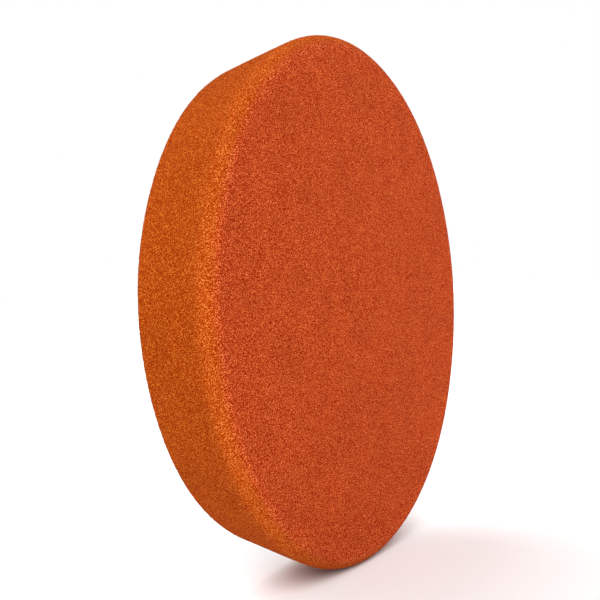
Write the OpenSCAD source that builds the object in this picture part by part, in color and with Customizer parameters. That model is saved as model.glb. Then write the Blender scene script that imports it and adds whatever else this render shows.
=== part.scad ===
// Foam polishing pad with a hook-and-loop backing.
// The pad is turned about the Y axis. The origin is the centre of the loop face, where a backing
// plate grips it, and the foam's working face looks along -Y.

/* [Foam disc] */
// Widest diameter, next to the working face
face_d = 150; // [80:1:180]
// How much smaller the radius of the foam's back is
taper = 5; // [0:0.5:10]
// Thickness of the foam
foam_t = 25; // [15:1:50]
// Radius of the rounded working edge
edge_r = 4; // [1:0.5:7]

/* [Loop backing] */
// Width of bare foam between the backing's rim and the back edge of the foam
backing_inset = 5; // [0:0.5:10]
// Thickness of the adhesive film
film_t = 0.3; // [0.1:0.05:0.5]
// Thickness of the knitted ground that carries the loops
knit_t = 0.6; // [0.3:0.1:1]
// Height of the loop pile above the ground
pile_t = 1.3; // [0.8:0.1:2.5]

/* [Hidden] */
$fn = 96;

face_r = face_d / 2;
back_r = face_r - taper;
backing_r = back_r - backing_inset;

// Distances of the layers from the loop face
knit_at = pile_t;
film_at = knit_at + knit_t;
foam_at = film_at + film_t;

// The straight side runs from the back edge to where it is tangent to the rounded working edge
edge_centre = [face_r - edge_r, foam_t - edge_r];
to_centre = edge_centre - [back_r, 0];
tangent_length = sqrt(to_centre * to_centre - edge_r * edge_r);
side_angle = atan2(to_centre.y, to_centre.x) - asin(edge_r / norm(to_centre));
side_top = [back_r, 0] + tangent_length * [cos(side_angle), sin(side_angle)];

// Turns a piece drawn upwards from the loop face so that it points along -Y
module from_loop_face(distance) {
    rotate([90, 0, 0])
        translate([0, 0, distance])
            children();
}

// One of the thin round layers of the backing
module backing_layer(distance, thickness) {
    from_loop_face(distance)
        cylinder(r = backing_r, h = thickness);
}

// Half section of the foam: flat back, tapered side, rounded working edge and flat face
module foam_section() {
    polygon([
        [0, 0],
        [back_r, 0],
        side_top,
        edge_centre,
        [edge_centre.x, foam_t],
        [0, foam_t]
    ]);
    translate(edge_centre)
        circle(r = edge_r);
}

module foam_disc() {
    color("orangered")
        from_loop_face(foam_at)
            rotate_extrude()
                foam_section();
}

module adhesive_film() {
    color("ivory")
        backing_layer(film_at, film_t);
}

module knit_ground() {
    color("gainsboro")
        backing_layer(knit_at, knit_t);
}

module loop_pile() {
    color("whitesmoke")
        backing_layer(0, pile_t);
}

foam_disc();
adhesive_film();
knit_ground();
loop_pile();
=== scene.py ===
import math

import bpy
import numpy as np
from mathutils import Matrix, Vector


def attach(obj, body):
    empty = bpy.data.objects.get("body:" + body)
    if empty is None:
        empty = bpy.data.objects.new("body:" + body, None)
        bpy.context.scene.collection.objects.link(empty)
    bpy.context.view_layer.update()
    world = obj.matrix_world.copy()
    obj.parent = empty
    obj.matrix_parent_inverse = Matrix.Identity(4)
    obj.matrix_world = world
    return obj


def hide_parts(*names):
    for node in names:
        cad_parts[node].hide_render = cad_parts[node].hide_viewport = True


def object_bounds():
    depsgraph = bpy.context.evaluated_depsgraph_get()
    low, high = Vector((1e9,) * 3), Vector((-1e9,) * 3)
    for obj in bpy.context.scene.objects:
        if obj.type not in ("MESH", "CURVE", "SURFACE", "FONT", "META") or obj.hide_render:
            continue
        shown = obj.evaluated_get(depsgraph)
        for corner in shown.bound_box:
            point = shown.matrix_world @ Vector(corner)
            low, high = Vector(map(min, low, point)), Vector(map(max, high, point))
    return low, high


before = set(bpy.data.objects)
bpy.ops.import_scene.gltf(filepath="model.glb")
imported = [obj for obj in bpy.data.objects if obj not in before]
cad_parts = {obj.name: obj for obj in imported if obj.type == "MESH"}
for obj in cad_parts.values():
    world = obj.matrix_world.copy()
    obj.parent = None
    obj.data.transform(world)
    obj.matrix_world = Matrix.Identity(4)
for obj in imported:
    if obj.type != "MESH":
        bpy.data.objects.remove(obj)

CAD_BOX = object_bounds()
MM = 0.001
TAU = 2 * math.pi
BAKE_MAP = "OFBake"    # the name of the map that pictures baked from the materials are laid out on

# ---------------------------------------------------------------- sizes, from the CAD frame

TOUCH = 0.01 * MM    # a CAD vertex nearer than this to a plane lies in it


def node_points(node):
    """A CAD node's vertices as (distance from the Y axis, y)."""
    points = np.array([v.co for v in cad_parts[node].data.vertices])
    return np.hypot(points[:, 0], points[:, 2]), points[:, 1]


foam_radii, foam_depths = node_points("foam_disc")
FACE_Y = float(foam_depths.min())
BACK_Y = float(foam_depths.max())
FACE_R = float(foam_radii.max())
FLAT_R = float(foam_radii[foam_depths < FACE_Y + TOUCH].max())
BACK_R = float(foam_radii[foam_depths > BACK_Y - TOUCH].max())
EDGE_R = FACE_R - FLAT_R
pile_radii, pile_depths = node_points("loop_pile")
BACKING_R = float(pile_radii.max())
PILE_TOP = float(pile_depths.max())
KNIT_TOP = float(pile_depths.min())
FILM_TOP = float(node_points("knit_ground")[1].min())

# ---------------------------------------------------------------- camera, as in the photograph

FACE_TURN = math.radians(60.3)    # angle between the pad's axis and the line of sight
AXIS_RISE = math.radians(1.95)    # how far the axis rises to the right in the picture
EYE_HEIGHT = math.radians(1.5)    # elevation of the line of sight
EYE_DISTANCE = 4.0 * FACE_R       # from the camera to the centre of the working face
FACE_RIGHT = 0.233 * FACE_R       # how far the face's centre lies to the right of the line of sight,
FACE_DOWN = 0.003 * FACE_R        # and how far below it
LENS = 63.0


def make_camera():
    """The camera, turned and placed from the angles and distances above."""
    cam = bpy.data.objects.new("camera", bpy.data.cameras.new("camera"))
    bpy.context.collection.objects.link(cam)
    cam.data.lens = LENS
    azimuth = -math.acos(math.cos(FACE_TURN) / math.cos(EYE_HEIGHT))
    back = Vector((math.sin(azimuth) * math.cos(EYE_HEIGHT),
                   -math.cos(azimuth) * math.cos(EYE_HEIGHT),
                   math.sin(EYE_HEIGHT)))
    axis = Vector((0, -1, 0))
    across = (axis - axis.dot(back) * back).normalized()
    above = back.cross(across)
    right = math.cos(AXIS_RISE) * across - math.sin(AXIS_RISE) * above
    up = back.cross(right)
    place = Vector((0, FACE_Y, 0)) - FACE_RIGHT * right + FACE_DOWN * up + EYE_DISTANCE * back
    turn = Matrix((right, up, back)).transposed().to_4x4()
    cam.matrix_world = Matrix.Translation(place) @ turn
    cam.data.clip_start = 0.01
    bpy.context.scene.camera = cam


# ---------------------------------------------------------------- materials

FOAM_CELL = 0.26 * MM       # one cell of the foam's grain
FOAM_BUMP = 0.06 * MM       # how deep its pits are shaded
FOAM_BLOTCH = 12 * MM       # the size of its faint lighter and darker patches
EDGE_HIGHLIGHT_TINT = (1.21, 1.29, 1.9, 1)    # what the foam's colours are multiplied by on the rolled edge, a painted highlight
STITCH_SLOPE = 1.2          # how steep the arms of a stitch's V are
STITCH_GAP = 0.2            # the gap at each side of a column of stitches, as a share of its width
YARN_FUZZ = 0.3 * MM
YARN_BUMP = 0.15 * MM


class Nodes:
    """A short way to write a node material."""

    MIX_INPUTS = (0, 6, 7)    # the Mix node's sockets for the factor and for two colours
    MIX_RESULT = 2            # and the one for the colour that comes out

    def __init__(self, name):
        self.material = bpy.data.materials.new(name)
        self.material.use_nodes = True
        self.tree = self.material.node_tree
        self.shader = self.tree.nodes["Principled BSDF"]

    def add(self, kind, links=(), **settings):
        node = self.tree.nodes.new(kind)
        for key, value in settings.items():
            setattr(node, key, value)
        for socket, value in dict(links).items():
            self.put(node.inputs[socket], value)
        return node

    def put(self, socket, value):
        if isinstance(value, bpy.types.NodeSocket):
            self.tree.links.new(value, socket)
        else:
            socket.default_value = value

    def shade(self, **values):
        for name, value in values.items():
            self.put(self.shader.inputs[name.replace("_", " ")], value)
        return self.material

    def where(self):
        return self.add("ShaderNodeTexCoord").outputs["Object"]

    def attribute(self, name):
        return self.add("ShaderNodeAttribute", attribute_name=name).outputs["Fac"]

    def noise(self, size, to_low=0.0, to_high=1.0, detail=3.0):
        """Soft noise from to_low to to_high whose blotches are size metres across."""
        links = {"Vector": self.where(), "Scale": 1 / size, "Detail": detail}
        noise = self.add("ShaderNodeTexNoise", links).outputs["Fac"]
        return self.ramp(noise, 0.3, 0.7, to_low, to_high)

    def cells(self, size, spread):
        """Foam cells size metres across: near 0 in the middle of a cell and about 0.5 to 0.8 on the
        walls between cells, with each whole cell up to spread lower or higher than the rest."""
        links = {"Vector": self.where(), "Scale": 1 / size}
        mosaic = self.add("ShaderNodeTexVoronoi", links).outputs
        chance = self.add("ShaderNodeSeparateColor", {"Color": mosaic["Color"]}).outputs["Red"]
        return self.math("ADD", mosaic["Distance"], self.ramp(chance, 0.0, 1.0, -spread, spread))

    def stitches(self, rib, course):
        """Columns of knit stitches, rib metres wide and course metres high: 1 on the yarn's Vs and 0 in
        the gaps between them."""
        place = self.add("ShaderNodeSeparateXYZ", {"Vector": self.where()}).outputs
        from_gap = self.math("PINGPONG", place["X"], rib / 2)
        slant = self.math("ADD", place["Z"], self.math("MULTIPLY", from_gap, STITCH_SLOPE))
        wave = self.math("SINE", self.math("MULTIPLY", slant, TAU / course))
        column = self.ramp(from_gap, 0.0, STITCH_GAP * rib)
        return self.math("MULTIPLY", self.ramp(wave, -1.0, 0.6), column)

    def grey(self, value):
        links = {"Red": value, "Green": value, "Blue": value}
        return self.add("ShaderNodeCombineColor", links).outputs["Color"]

    def ramp(self, value, low, high, to_low=0.0, to_high=1.0):
        links = {"Value": value, "From Min": low, "From Max": high, "To Min": to_low, "To Max": to_high}
        return self.add("ShaderNodeMapRange", links).outputs["Result"]

    def mix(self, factor, a, b, blend="MIX"):
        node = self.add("ShaderNodeMix", data_type="RGBA", blend_type=blend)
        for index, value in zip(self.MIX_INPUTS, (factor, a, b)):
            self.put(node.inputs[index], value)
        return node.outputs[self.MIX_RESULT]

    def math(self, operation, a, b=0.0):
        return self.add("ShaderNodeMath", {0: a, 1: b}, operation=operation).outputs[0]

    def bump(self, height, distance):
        return self.add("ShaderNodeBump", {"Height": height, "Distance": distance}).outputs["Normal"]


def foam_material():
    """Round cells, the foam's grain, with dark pits that are painted shade, orange walls and paler struts
    that are a painted highlight, each darker and browner on the side as painted shade.
    """
    n = Nodes("foam")
    side = n.attribute("side")
    # The dark pit colour is painted shade in the cells' hollows, and the pale strut colour a painted
    # highlight where the cells stand proud.
    pit_shade = n.mix(side, (0.15, 0.001, 0.0001, 1), (0.19, 0.014, 0.0001, 1))
    # The second colour of each pair, for the side, is darker and browner as painted shade.
    wall = n.mix(side, (0.62, 0.050, 0.0005, 1), (0.44, 0.050, 0.0002, 1))
    strut_highlight = n.mix(side, (0.74, 0.184, 0.053, 1), (0.50, 0.136, 0.018, 1))
    level = n.cells(FOAM_CELL, spread=0.1)
    lit = n.ramp(level, 0.27, 0.7)
    proud_highlight = n.ramp(level, 0.5, 0.8)
    colour = n.mix(proud_highlight, n.mix(lit, pit_shade, wall), strut_highlight)
    colour = n.mix(1.0, colour, n.grey(n.noise(FOAM_BLOTCH, 0.95, 1.05)), "MULTIPLY")
    # The rolled edge is made paler here: a painted highlight.
    colour = n.mix(n.attribute("edge"), colour, n.mix(1.0, colour, EDGE_HIGHLIGHT_TINT, "MULTIPLY"))
    return n.shade(
        Base_Color=colour,
        Roughness=n.ramp(lit, 0.0, 1.0, 1.0, 0.85),
        Normal=n.bump(lit, FOAM_BUMP),
        Specular_IOR_Level=0.0,
        Sheen_Weight=0.022,
        Sheen_Roughness=0.3,
        Sheen_Tint=(0.5, 0.5, 1.0, 1),
    )


def film_material():
    n = Nodes("film")
    tone = n.noise(3 * MM, detail=2.0)
    return n.shade(
        Base_Color=n.mix(tone, (0.60, 0.52, 0.34, 1), (0.74, 0.68, 0.50, 1)),
        Roughness=0.45,
    )


def knit_material():
    n = Nodes("knit")
    yarn = n.math("ADD", n.stitches(RIB_PITCH, COURSE_PITCH), n.noise(YARN_FUZZ, -0.3, 0.3))
    return n.shade(
        # The yarn's white is greyed by painted shade under the loops, and darker still in the gaps between
        # stitches, where shade falls.
        Base_Color=n.mix(yarn, (0.50, 0.50, 0.49, 1), (0.84, 0.84, 0.83, 1)),
        Roughness=0.9,
        Normal=n.bump(yarn, YARN_BUMP),
        Specular_IOR_Level=0.2,
    )


def pile_material():
    n = Nodes("pile")
    tone = n.math("ADD", n.noise(9 * MM, -0.2, 0.2), n.attribute("tone"))
    return n.shade(
        Base_Color=n.mix(tone, (0.74, 0.74, 0.73, 1), (0.88, 0.88, 0.87, 1)),
        Roughness=0.8,
        Specular_IOR_Level=0.3,
        Sheen_Weight=0.2,
    )


def floor_material():
    n = Nodes("floor")
    return n.shade(Base_Color=n.grey(n.noise(80 * MM, 0.93, 0.95)), Roughness=0.9)


# ---------------------------------------------------------------- round pieces, built from rings

RING_STEP = math.sqrt(0.75)    # distance between rings, as a share of the gap between points on them
WIDENING = 1.6                 # each step over this times the last, where a piece's rings spread out
MAP_MARGIN = 0.01              # the bake's map, as shares of its width: the empty border round it,
MAP_RING = 0.25                # the inner radius of what shows, where only a rim shows,
MAP_CORNER = 0.07              # and the radius of each hidden side, which goes in a corner


class Outline:
    """Half of a round piece's section: a path from the centre of one face, which looks along -Y, round
    the rim to the centre of the other. Its moves are (length, 0) for a straight stretch and
    (radius, bend) for an arc, and the last stretch runs back to the axis by itself."""

    def __init__(self, y, *moves):
        place, turn, parts = (0.0, y), 0.0, []
        for size, bend in moves:
            length = size * bend if bend else size
            parts.append((length, size, bend, turn, *place))
            if bend:
                place = (place[0] + size * (math.sin(turn + bend) - math.sin(turn)),
                         place[1] + size * (math.cos(turn) - math.cos(turn + bend)))
                turn += bend
            else:
                place = (place[0] + size * math.cos(turn), place[1] + size * math.sin(turn))
        parts.append((place[0], place[0], 0.0, math.pi, *place))
        self.parts = np.array(parts)
        self.ends = np.cumsum(self.parts[:, 0])
        self.length = float(self.ends[-1])

    def at(self, path):
        """For each distance along the path: the radius, y, and the outward normal's turn from -Y."""
        path = np.clip(path, 0, self.length)
        part = np.searchsorted(self.ends[:-1], path, side="right")
        along = path - np.concatenate([[0], self.ends])[part]
        _, size, bend, start, radius, y = self.parts[part].T
        turn = start + np.where(bend > 0, along / size, 0)
        out = np.where(bend > 0, size * (np.sin(turn) - np.sin(start)), along * np.cos(start))
        rise = np.where(bend > 0, size * (np.cos(start) - np.cos(turn)), along * np.sin(start))
        return radius + out, y + rise, turn


def widening(distance, step, coarse):
    """Steps that grow from step to coarse and cover a distance, as offsets from its start."""
    offsets = []
    at = step
    while at < distance:
        offsets.append(at)
        step = min(step * WIDENING, coarse)
        at += step
    return offsets + [distance]


def strip(first, second):
    """Triangles between two rings, each given as (index of its first point, angles of its points).
    The strip goes round once, and each triangle steps along the ring whose next point comes first."""
    (a_start, a), (b_start, b) = first, second
    faces = []
    i = j = 0
    while i < len(a) or j < len(b):
        next_a = a[i + 1] if i + 1 < len(a) else TAU + a[0]
        next_b = b[j + 1] if j + 1 < len(b) else TAU + b[0]
        on_a = a_start + i % len(a)
        on_b = b_start + j % len(b)
        if j >= len(b) or (i < len(a) and next_a <= next_b):
            i += 1
            if len(a) > 1:
                faces.append((on_a, on_b, a_start + i % len(a)))
        else:
            j += 1
            if len(b) > 1:
                faces.append((on_a, on_b, b_start + j % len(b)))
    return faces


class RoundSkin:
    """The closed skin of a round piece: rings of points along an outline, joined by triangles. From
    fine_from to fine_to along the outline the points are cell apart, and shifted by up to jitter of
    that. Elsewhere they spread out to coarse. No two on one ring are closer than around."""

    def __init__(self, outline, fine_from, fine_to, cell, coarse, seed, around=0.0, jitter=0.0):
        self.outline, self.rng = outline, np.random.default_rng(seed)
        self.fine_from, self.fine_to = fine_from, fine_to
        step = cell * RING_STEP
        fine = np.linspace(fine_from, fine_to, max(2, round((fine_to - fine_from) / step) + 1))
        before = [fine_from - d for d in widening(fine_from, step, coarse)][::-1] if fine_from else []
        after = [fine_to + d for d in widening(outline.length - fine_to, step, coarse)]
        stations = np.array([*before, *fine, *after])
        gaps = np.maximum(np.gradient(stations) / RING_STEP, around)
        gaps[(stations >= fine_from) & (stations <= fine_to)] = max(cell, around)
        path, angle, self.faces, ring = [], [], [], None
        for station, gap, radius in zip(stations, gaps, outline.at(stations)[0]):
            count = max(1, round(TAU * radius / gap)) if 0 < station < outline.length else 1
            turns = (self.rng.random() + np.arange(count)) * TAU / count
            last, ring = ring, (len(path), turns)
            path += [station] * count
            angle += list(turns)
            if last:
                self.faces += strip(last, ring)
        self.ring = np.array(path)    # where each point's ring is along the outline
        self.fine = (self.ring >= fine_from) & (self.ring <= fine_to) & (self.ring > 0)
        shift = np.where(self.fine, jitter * cell, 0)
        self.path = self.ring + shift * self.rng.uniform(-1, 1, len(path))
        radius = np.maximum(outline.at(self.path)[0], cell)
        self.angle = np.array(angle) + shift / radius * self.rng.uniform(-1, 1, len(path))

    def mesh(self, name, height=0.0, widen=0.0, faces_back=False):
        """The mesh, with its points raised by height along the skin's normal and the rim moved out by
        widen. With faces_back it is turned over, so that the outline's first face looks along +Y."""
        radius, y, turn = self.outline.at(self.path)
        radius = radius + height * np.sin(turn) + widen * np.clip(np.sin(turn), 0, 1)
        y = y - height * np.cos(turn)
        x, z = radius * np.cos(self.angle), radius * np.sin(self.angle)
        points = np.column_stack([x, -y, -z] if faces_back else [x, y, z])
        mesh = bpy.data.meshes.new(name)
        mesh.from_pydata(points.tolist(), [], self.faces)
        mesh.update()
        self.add_bake_map(mesh)
        return mesh

    def add_bake_map(self, mesh):
        """The bake's map: the fine skin as a disc or a broad ring, each hidden side small in a corner."""
        faces = np.array(self.faces)
        path, angle = self.path[faces], self.angle[faces]
        seen = np.clip((path - self.fine_from) / (self.fine_to - self.fine_from), 0, 1)
        inner = MAP_RING if self.fine_from else 0
        spread = inner + (0.5 - MAP_MARGIN - inner) * seen
        centre = 0.5
        after = np.all(self.ring[faces] >= self.fine_to, axis=1, keepdims=True)
        rest = (self.outline.length - path) / (self.outline.length - self.fine_to)
        spread = np.where(after, MAP_CORNER * rest, spread)
        centre = np.where(after, 1 - MAP_MARGIN - MAP_CORNER, centre)
        if self.fine_from:
            before = np.all(self.ring[faces] <= self.fine_from, axis=1, keepdims=True)
            spread = np.where(before, MAP_CORNER * path / self.fine_from, spread)
            centre = np.where(before, MAP_MARGIN + MAP_CORNER, centre)
        flat = np.stack([centre + spread * np.cos(angle), centre + spread * np.sin(angle)], axis=-1)
        layer = mesh.uv_layers.new(name=BAKE_MAP)
        layer.data.foreach_set("uv", flat.astype(np.float32).ravel())


def add_values(mesh, name, values):
    """Gives a mesh a named number at each point, for its material."""
    data = mesh.attributes.new(name, "FLOAT", "POINT").data
    data.foreach_set("value", np.asarray(values, np.float32))


# ---------------------------------------------------------------- the foam disc

CELL = 0.62 * MM           # distance between the points of the foam's surface
PORE_DEPTH = 0.06 * MM
DIMPLE_DEPTH = 0.3 * PORE_DEPTH     # how far the surface between pores dips at most,
STRUT_RISE = 0.04 * MM              # and how far it stands proud at most
SIDE_WAVE = 0.12 * MM      # how far the side waves in and out
# The side's colour is darker and browner than the face's: painted shade.
SIDE_STARTS = 0.15         # where the side's colour starts, as the surface's turn from the face in radians,
SIDE_FULL = 0.8            # and where it is full
HIGHLIGHT_MIDDLE = 1.05 * EDGE_R         # from the flat's rim to the middle of the painted highlight band on the edge, and how far that band fades out to each side
HIGHLIGHT_WIDTH = 0.75 * EDGE_R          # and how far that band fades out to each side
BACK_EDGE_R = 0.5 * MM     # softening of the foam's back edge
TUCK = 2 * MM              # how far the foam's fine surface runs on under the backing
COARSE = 7 * MM            # distance between points where nothing shows


def foam_outline():
    """The working face, the rolled edge, the tapering side that leaves it smoothly, and the back edge."""
    height = BACK_Y - FACE_Y - EDGE_R
    reach = math.hypot(FLAT_R - BACK_R, height)
    turn = math.pi - math.atan2(height, FLAT_R - BACK_R) + math.asin(EDGE_R / reach)
    cut_back = BACK_EDGE_R * math.tan((math.pi - turn) / 2)
    side = math.sqrt(reach ** 2 - EDGE_R ** 2) - cut_back
    return Outline(FACE_Y, (FLAT_R, 0), (EDGE_R, turn), (side, 0), (BACK_EDGE_R, math.pi - turn))


def choose_pores(skin):
    """Marks points as pores so that no two pores touch and every point is a pore or beside one."""
    count = len(skin.path)
    near = [[] for _ in range(count)]
    for a, b, c in skin.faces:
        near[a].append(b)
        near[b].append(c)
        near[c].append(a)
    pore = np.zeros(count, bool)
    beside = np.zeros(count, bool)
    for point in skin.rng.permutation(count):
        if not beside[point]:
            pore[point] = True
            beside[near[point]] = True
    return pore


def foam_disc():
    outline = foam_outline()
    backing_rim = outline.length - BACKING_R
    skin = RoundSkin(outline, 0, backing_rim + TUCK, CELL, COARSE, seed=11, jitter=0.22)
    count = len(skin.path)
    pores = choose_pores(skin)
    depth = PORE_DEPTH * skin.rng.uniform(0.45, 1, count)
    lift = -skin.rng.uniform(-1, 1, count)
    height = np.where(pores, -depth, lift * np.where(lift > 0, STRUT_RISE, DIMPLE_DEPTH))
    past_flat = skin.path - FLAT_R
    wave = np.sin(3 * skin.angle + skin.path / (9 * MM)) * np.sin(5 * skin.angle - skin.path / (14 * MM))
    height = height + SIDE_WAVE * wave * np.clip(past_flat / EDGE_R, 0, 1)
    mesh = skin.mesh("foam_disc", height * skin.fine)
    turn = outline.at(skin.path)[2]
    # Where the side's painted shade goes
    add_values(mesh, "side", np.clip((turn - SIDE_STARTS) / (SIDE_FULL - SIDE_STARTS), 0, 1))
    # Where the rolled edge's painted highlight goes
    add_values(mesh, "edge", np.exp(-((past_flat - HIGHLIGHT_MIDDLE) / HIGHLIGHT_WIDTH) ** 2))
    return mesh


# ---------------------------------------------------------------- the backing

FILM_CELL = 0.1 * MM       # distance between the rings round the film's rim
FILM_AROUND = 0.7 * MM     # and between the points on a ring
FILM_SQUEEZE = 0.2 * MM    # how far the glue line wanders out and in round the rim
FILM_WAVES = (7, 23, 61)   # the number of waves round the rim that the wandering is made of
KNIT_CELL = 0.43 * MM
RIB_PITCH = 1.5 * MM       # one column of knit stitches
COURSE_PITCH = 1.15 * MM   # one row of knit stitches
RIB_RISE = 0.08 * MM
COURSE_SHARE = 0.4         # how far a row rises, and how far a lump does, as shares of a rib's rise
LUMP_SHARE = 0.3
LOOP_SHIFT = 0.25          # how far a loop stands from its stitch, as a share of the distance to the next
LOOP_TWIST = 0.9           # how the loops' facing varies, in radians (standard deviation)
LOOP_WIDTH = (1.0 * MM, 1.9 * MM)
LOOP_BELLY = 0.35          # how much wider a loop gets above its feet
LOOP_SQUARENESS = 0.75     # the shape of its arch: 1 is an ellipse, and less is squarer
LOOP_RISE = (0.6, 1.0)     # the height of the loops, as a share of the pile's
LOOP_LEAN = (0.3 * MM, 1.2 * MM)
BRUSHED = math.radians(35)      # the way most loops lean, from +X towards +Z
BRUSH_SPREAD = 0.7              # and how that varies, in radians (standard deviation)
YARN_R = 0.2 * MM
YARN_SIDES = 3
LOOP_POINTS = 5
LOOP_INSET = 0.15          # the border round each loop's patch of the bake's map, as a share of the patch


def adhesive_film():
    half = (FILM_TOP - BACK_Y) / 2
    outline = Outline(BACK_Y, (BACKING_R - half, 0), (half, math.pi))
    rim_from, rim_to = outline.ends[:2]
    skin = RoundSkin(outline, rim_from - half, rim_to + half, FILM_CELL, COARSE, seed=3, around=FILM_AROUND)
    wander = sum(np.sin(waves * skin.angle + start) for start, waves in enumerate(FILM_WAVES))
    return skin.mesh("adhesive_film", widen=FILM_SQUEEZE * wander / len(FILM_WAVES))


def knit_ground():
    half = (KNIT_TOP - FILM_TOP) / 2
    outline = Outline(-KNIT_TOP, (BACKING_R - half, 0), (half, math.pi))
    skin = RoundSkin(outline, 0, outline.ends[1], KNIT_CELL, COARSE, seed=5, jitter=0.1)
    radius, _, turn = outline.at(skin.path)
    ribs = np.cos(TAU * radius * np.cos(skin.angle) / RIB_PITCH)
    courses = np.cos(TAU * radius * np.sin(skin.angle) / COURSE_PITCH)
    lumps = skin.rng.uniform(-1, 1, len(skin.path))
    below_top = (ribs - 1) + COURSE_SHARE * (courses - 1) + LUMP_SHARE * (lumps - 1)
    height = RIB_RISE * below_top * np.clip(np.cos(turn), 0, 1)
    return skin.mesh("knit_ground", height, faces_back=True)


def loop_spots(rng):
    """Where the loops stand, as (x, z), and how far each may lean: one stands near each stitch, and
    every other column of stitches is half a row further on."""
    pitch = np.array([RIB_PITCH, COURSE_PITCH])
    ribs, courses = np.ceil(BACKING_R / pitch)
    across, along = np.meshgrid(np.arange(-ribs, ribs + 1), np.arange(-courses, courses + 1))
    spots = np.column_stack([across.ravel(), along.ravel() + 0.5 * (across.ravel() % 2)])
    spots = (spots + rng.uniform(-LOOP_SHIFT, LOOP_SHIFT, spots.shape)) * pitch
    to_rim = BACKING_R - LOOP_WIDTH[1] / 2 - np.hypot(*spots.T)
    return spots[to_rim > 0], to_rim[to_rim > 0]


def loop_lines(rng, spots, to_rim):
    """The line that each loop's yarn follows, and the direction square to the plane it lies in."""
    count = len(spots)
    feet = np.column_stack([spots[:, 0], np.full(count, KNIT_TOP - YARN_R / 2), spots[:, 1]])
    facing = rng.normal(0, LOOP_TWIST, count)
    spread = np.column_stack([np.cos(facing), np.zeros(count), np.sin(facing)])
    width = rng.uniform(*LOOP_WIDTH, count)[:, None, None]
    lean_to = BRUSHED + rng.normal(0, BRUSH_SPREAD, count)
    lean = np.minimum(rng.uniform(*LOOP_LEAN, count), to_rim)
    rise = rng.uniform(*LOOP_RISE, count) * (PILE_TOP - KNIT_TOP - YARN_R)
    top = np.column_stack([lean * np.cos(lean_to), rise, lean * np.sin(lean_to)])

    t = np.linspace(0, math.pi, LOOP_POINTS)[None, :, None]
    bow = np.sin(t) ** LOOP_SQUARENESS
    reach = width / 2 * np.cos(t) * (1 + LOOP_BELLY * bow)
    line = feet[:, None] + spread[:, None] * reach + top[:, None] * bow
    flat = np.cross(spread, top)
    return line, (flat / np.linalg.norm(flat, axis=1, keepdims=True))[:, None]


def yarn_faces():
    """The faces of one loop's closed tube, each a list of corners (step along the yarn, step round it)."""
    steps = [(k, j) for k in range(LOOP_POINTS - 1) for j in range(YARN_SIDES)]
    walls = [[(k, j), (k + 1, j), (k + 1, j + 1), (k, j + 1)] for k, j in steps]
    start = [(0, j) for j in range(YARN_SIDES)]
    end = [(LOOP_POINTS - 1, j) for j in reversed(range(YARN_SIDES))]
    return walls + [start, end]


def loop_pile():
    """Thousands of loops of yarn, each an arch that leans the way the pile was brushed."""
    rng = np.random.default_rng(23)
    line, flat = loop_lines(rng, *loop_spots(rng))
    inward = np.cross(np.gradient(line, axis=1), flat)
    inward = inward / np.linalg.norm(inward, axis=2, keepdims=True)
    turns = TAU * np.arange(YARN_SIDES)[:, None] / YARN_SIDES
    points = line[:, :, None] + YARN_R * (
        np.cos(turns) * inward[:, :, None] + np.sin(turns) * flat[:, :, None])

    count = len(line)
    per_loop = LOOP_POINTS * YARN_SIDES
    tube = yarn_faces()
    one_loop = [[k * YARN_SIDES + j % YARN_SIDES for k, j in corners] for corners in tube]
    faces = [[loop * per_loop + point for point in face] for loop in range(count) for face in one_loop]
    mesh = bpy.data.meshes.new("loop_pile")
    mesh.from_pydata(points.reshape(-1, 3).tolist(), [], faces)
    mesh.update()
    mesh.shade_smooth()
    add_values(mesh, "tone", np.repeat(rng.random(count), per_loop))

    across = math.ceil(math.sqrt(count))
    loops = np.arange(count)
    patch = np.column_stack([loops % across, loops // across])[:, None]
    corners = np.array([corner for face in tube for corner in face]) / (LOOP_POINTS - 1, YARN_SIDES)
    inside = LOOP_INSET + (1 - 2 * LOOP_INSET) * corners
    layer = mesh.uv_layers.new(name=BAKE_MAP)
    layer.data.foreach_set("uv", ((patch + inside) / across).astype(np.float32).ravel())
    return mesh


def add_piece(name, mesh, material, slot, *nodes):
    """A finished piece that rides with the pad and stands for its CAD nodes."""
    piece = bpy.data.objects.new(name, mesh)
    bpy.context.collection.objects.link(piece)
    mesh.materials.append(material)
    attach(piece, "root")
    if nodes:
        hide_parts(*nodes)
    return piece


# ---------------------------------------------------------------- studio

FLOOR_SIZE = 8.0
FLOOR_GAP = 0.2 * MM       # between the floor and the pad's CAD box, which the foam's grain passes a little
SKY_LIGHT = 0.5            # the white background's strength as a light
SKY_SEEN = 1.0             # and its brightness where the camera sees it


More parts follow.
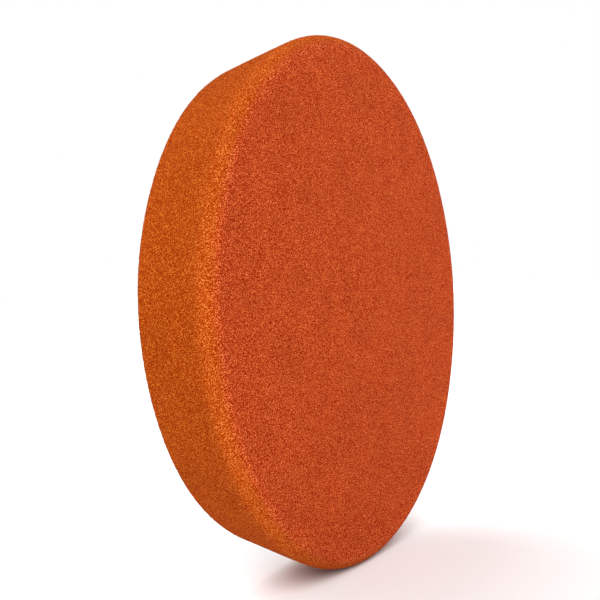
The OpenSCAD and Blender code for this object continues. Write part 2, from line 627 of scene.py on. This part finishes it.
def make_floor():
    mesh = bpy.data.meshes.new("floor")
    half, z = FLOOR_SIZE / 2, CAD_BOX[0].z - FLOOR_GAP
    corners = [(-half, -half, z), (half, -half, z), (half, half, z), (-half, half, z)]
    mesh.from_pydata(corners, [], [(0, 1, 2, 3)])
    mesh.materials.append(floor_material())
    floor = bpy.data.objects.new("floor", mesh)
    bpy.context.collection.objects.link(floor)


def soft_sun(name, azimuth, elevation, irradiance, spread):
    """A light from far away that fills spread degrees of the sky. Azimuth 0 is the working face's side."""
    light = bpy.data.objects.new(name, bpy.data.lights.new(name, "SUN"))
    bpy.context.collection.objects.link(light)
    light.data.energy = irradiance
    light.data.angle = math.radians(spread)
    a, e = math.radians(azimuth), math.radians(elevation)
    back = Vector((math.sin(a) * math.cos(e), -math.cos(a) * math.cos(e), math.sin(e)))
    light.rotation_mode = "QUATERNION"
    light.rotation_quaternion = back.to_track_quat("Z", "Y")


def make_studio():
    world = bpy.data.worlds.new("studio")
    world.use_nodes = True
    tree = world.node_tree
    background = tree.nodes["Background"]
    background.inputs["Color"].default_value = (1, 1, 1, 1)
    seen = tree.nodes.new("ShaderNodeLightPath").outputs["Is Camera Ray"]
    strength = tree.nodes.new("ShaderNodeMapRange")
    strength.inputs["To Min"].default_value = SKY_LIGHT
    strength.inputs["To Max"].default_value = SKY_SEEN
    tree.links.new(seen, strength.inputs["Value"])
    tree.links.new(strength.outputs["Result"], background.inputs["Strength"])
    bpy.context.scene.world = world
    bpy.context.scene.view_settings.view_transform = "Standard"
    make_floor()
    soft_sun("key", azimuth=-58, elevation=36, irradiance=2.7, spread=40)
    soft_sun("fill", azimuth=170, elevation=50, irradiance=2.0, spread=60)


# ---------------------------------------------------------------- build

make_camera()
foam = add_piece("foam_disc_cut", foam_disc(), foam_material(), "foam", "foam_disc")
film = add_piece("adhesive_film_pressed", adhesive_film(), film_material(), "film", "adhesive_film")
knit = add_piece("knit_ground_cloth", knit_ground(), knit_material(), "knit", "knit_ground")
pile = add_piece("loop_pile_yarn", loop_pile(), pile_material(), "pile", "loop_pile")
make_studio()
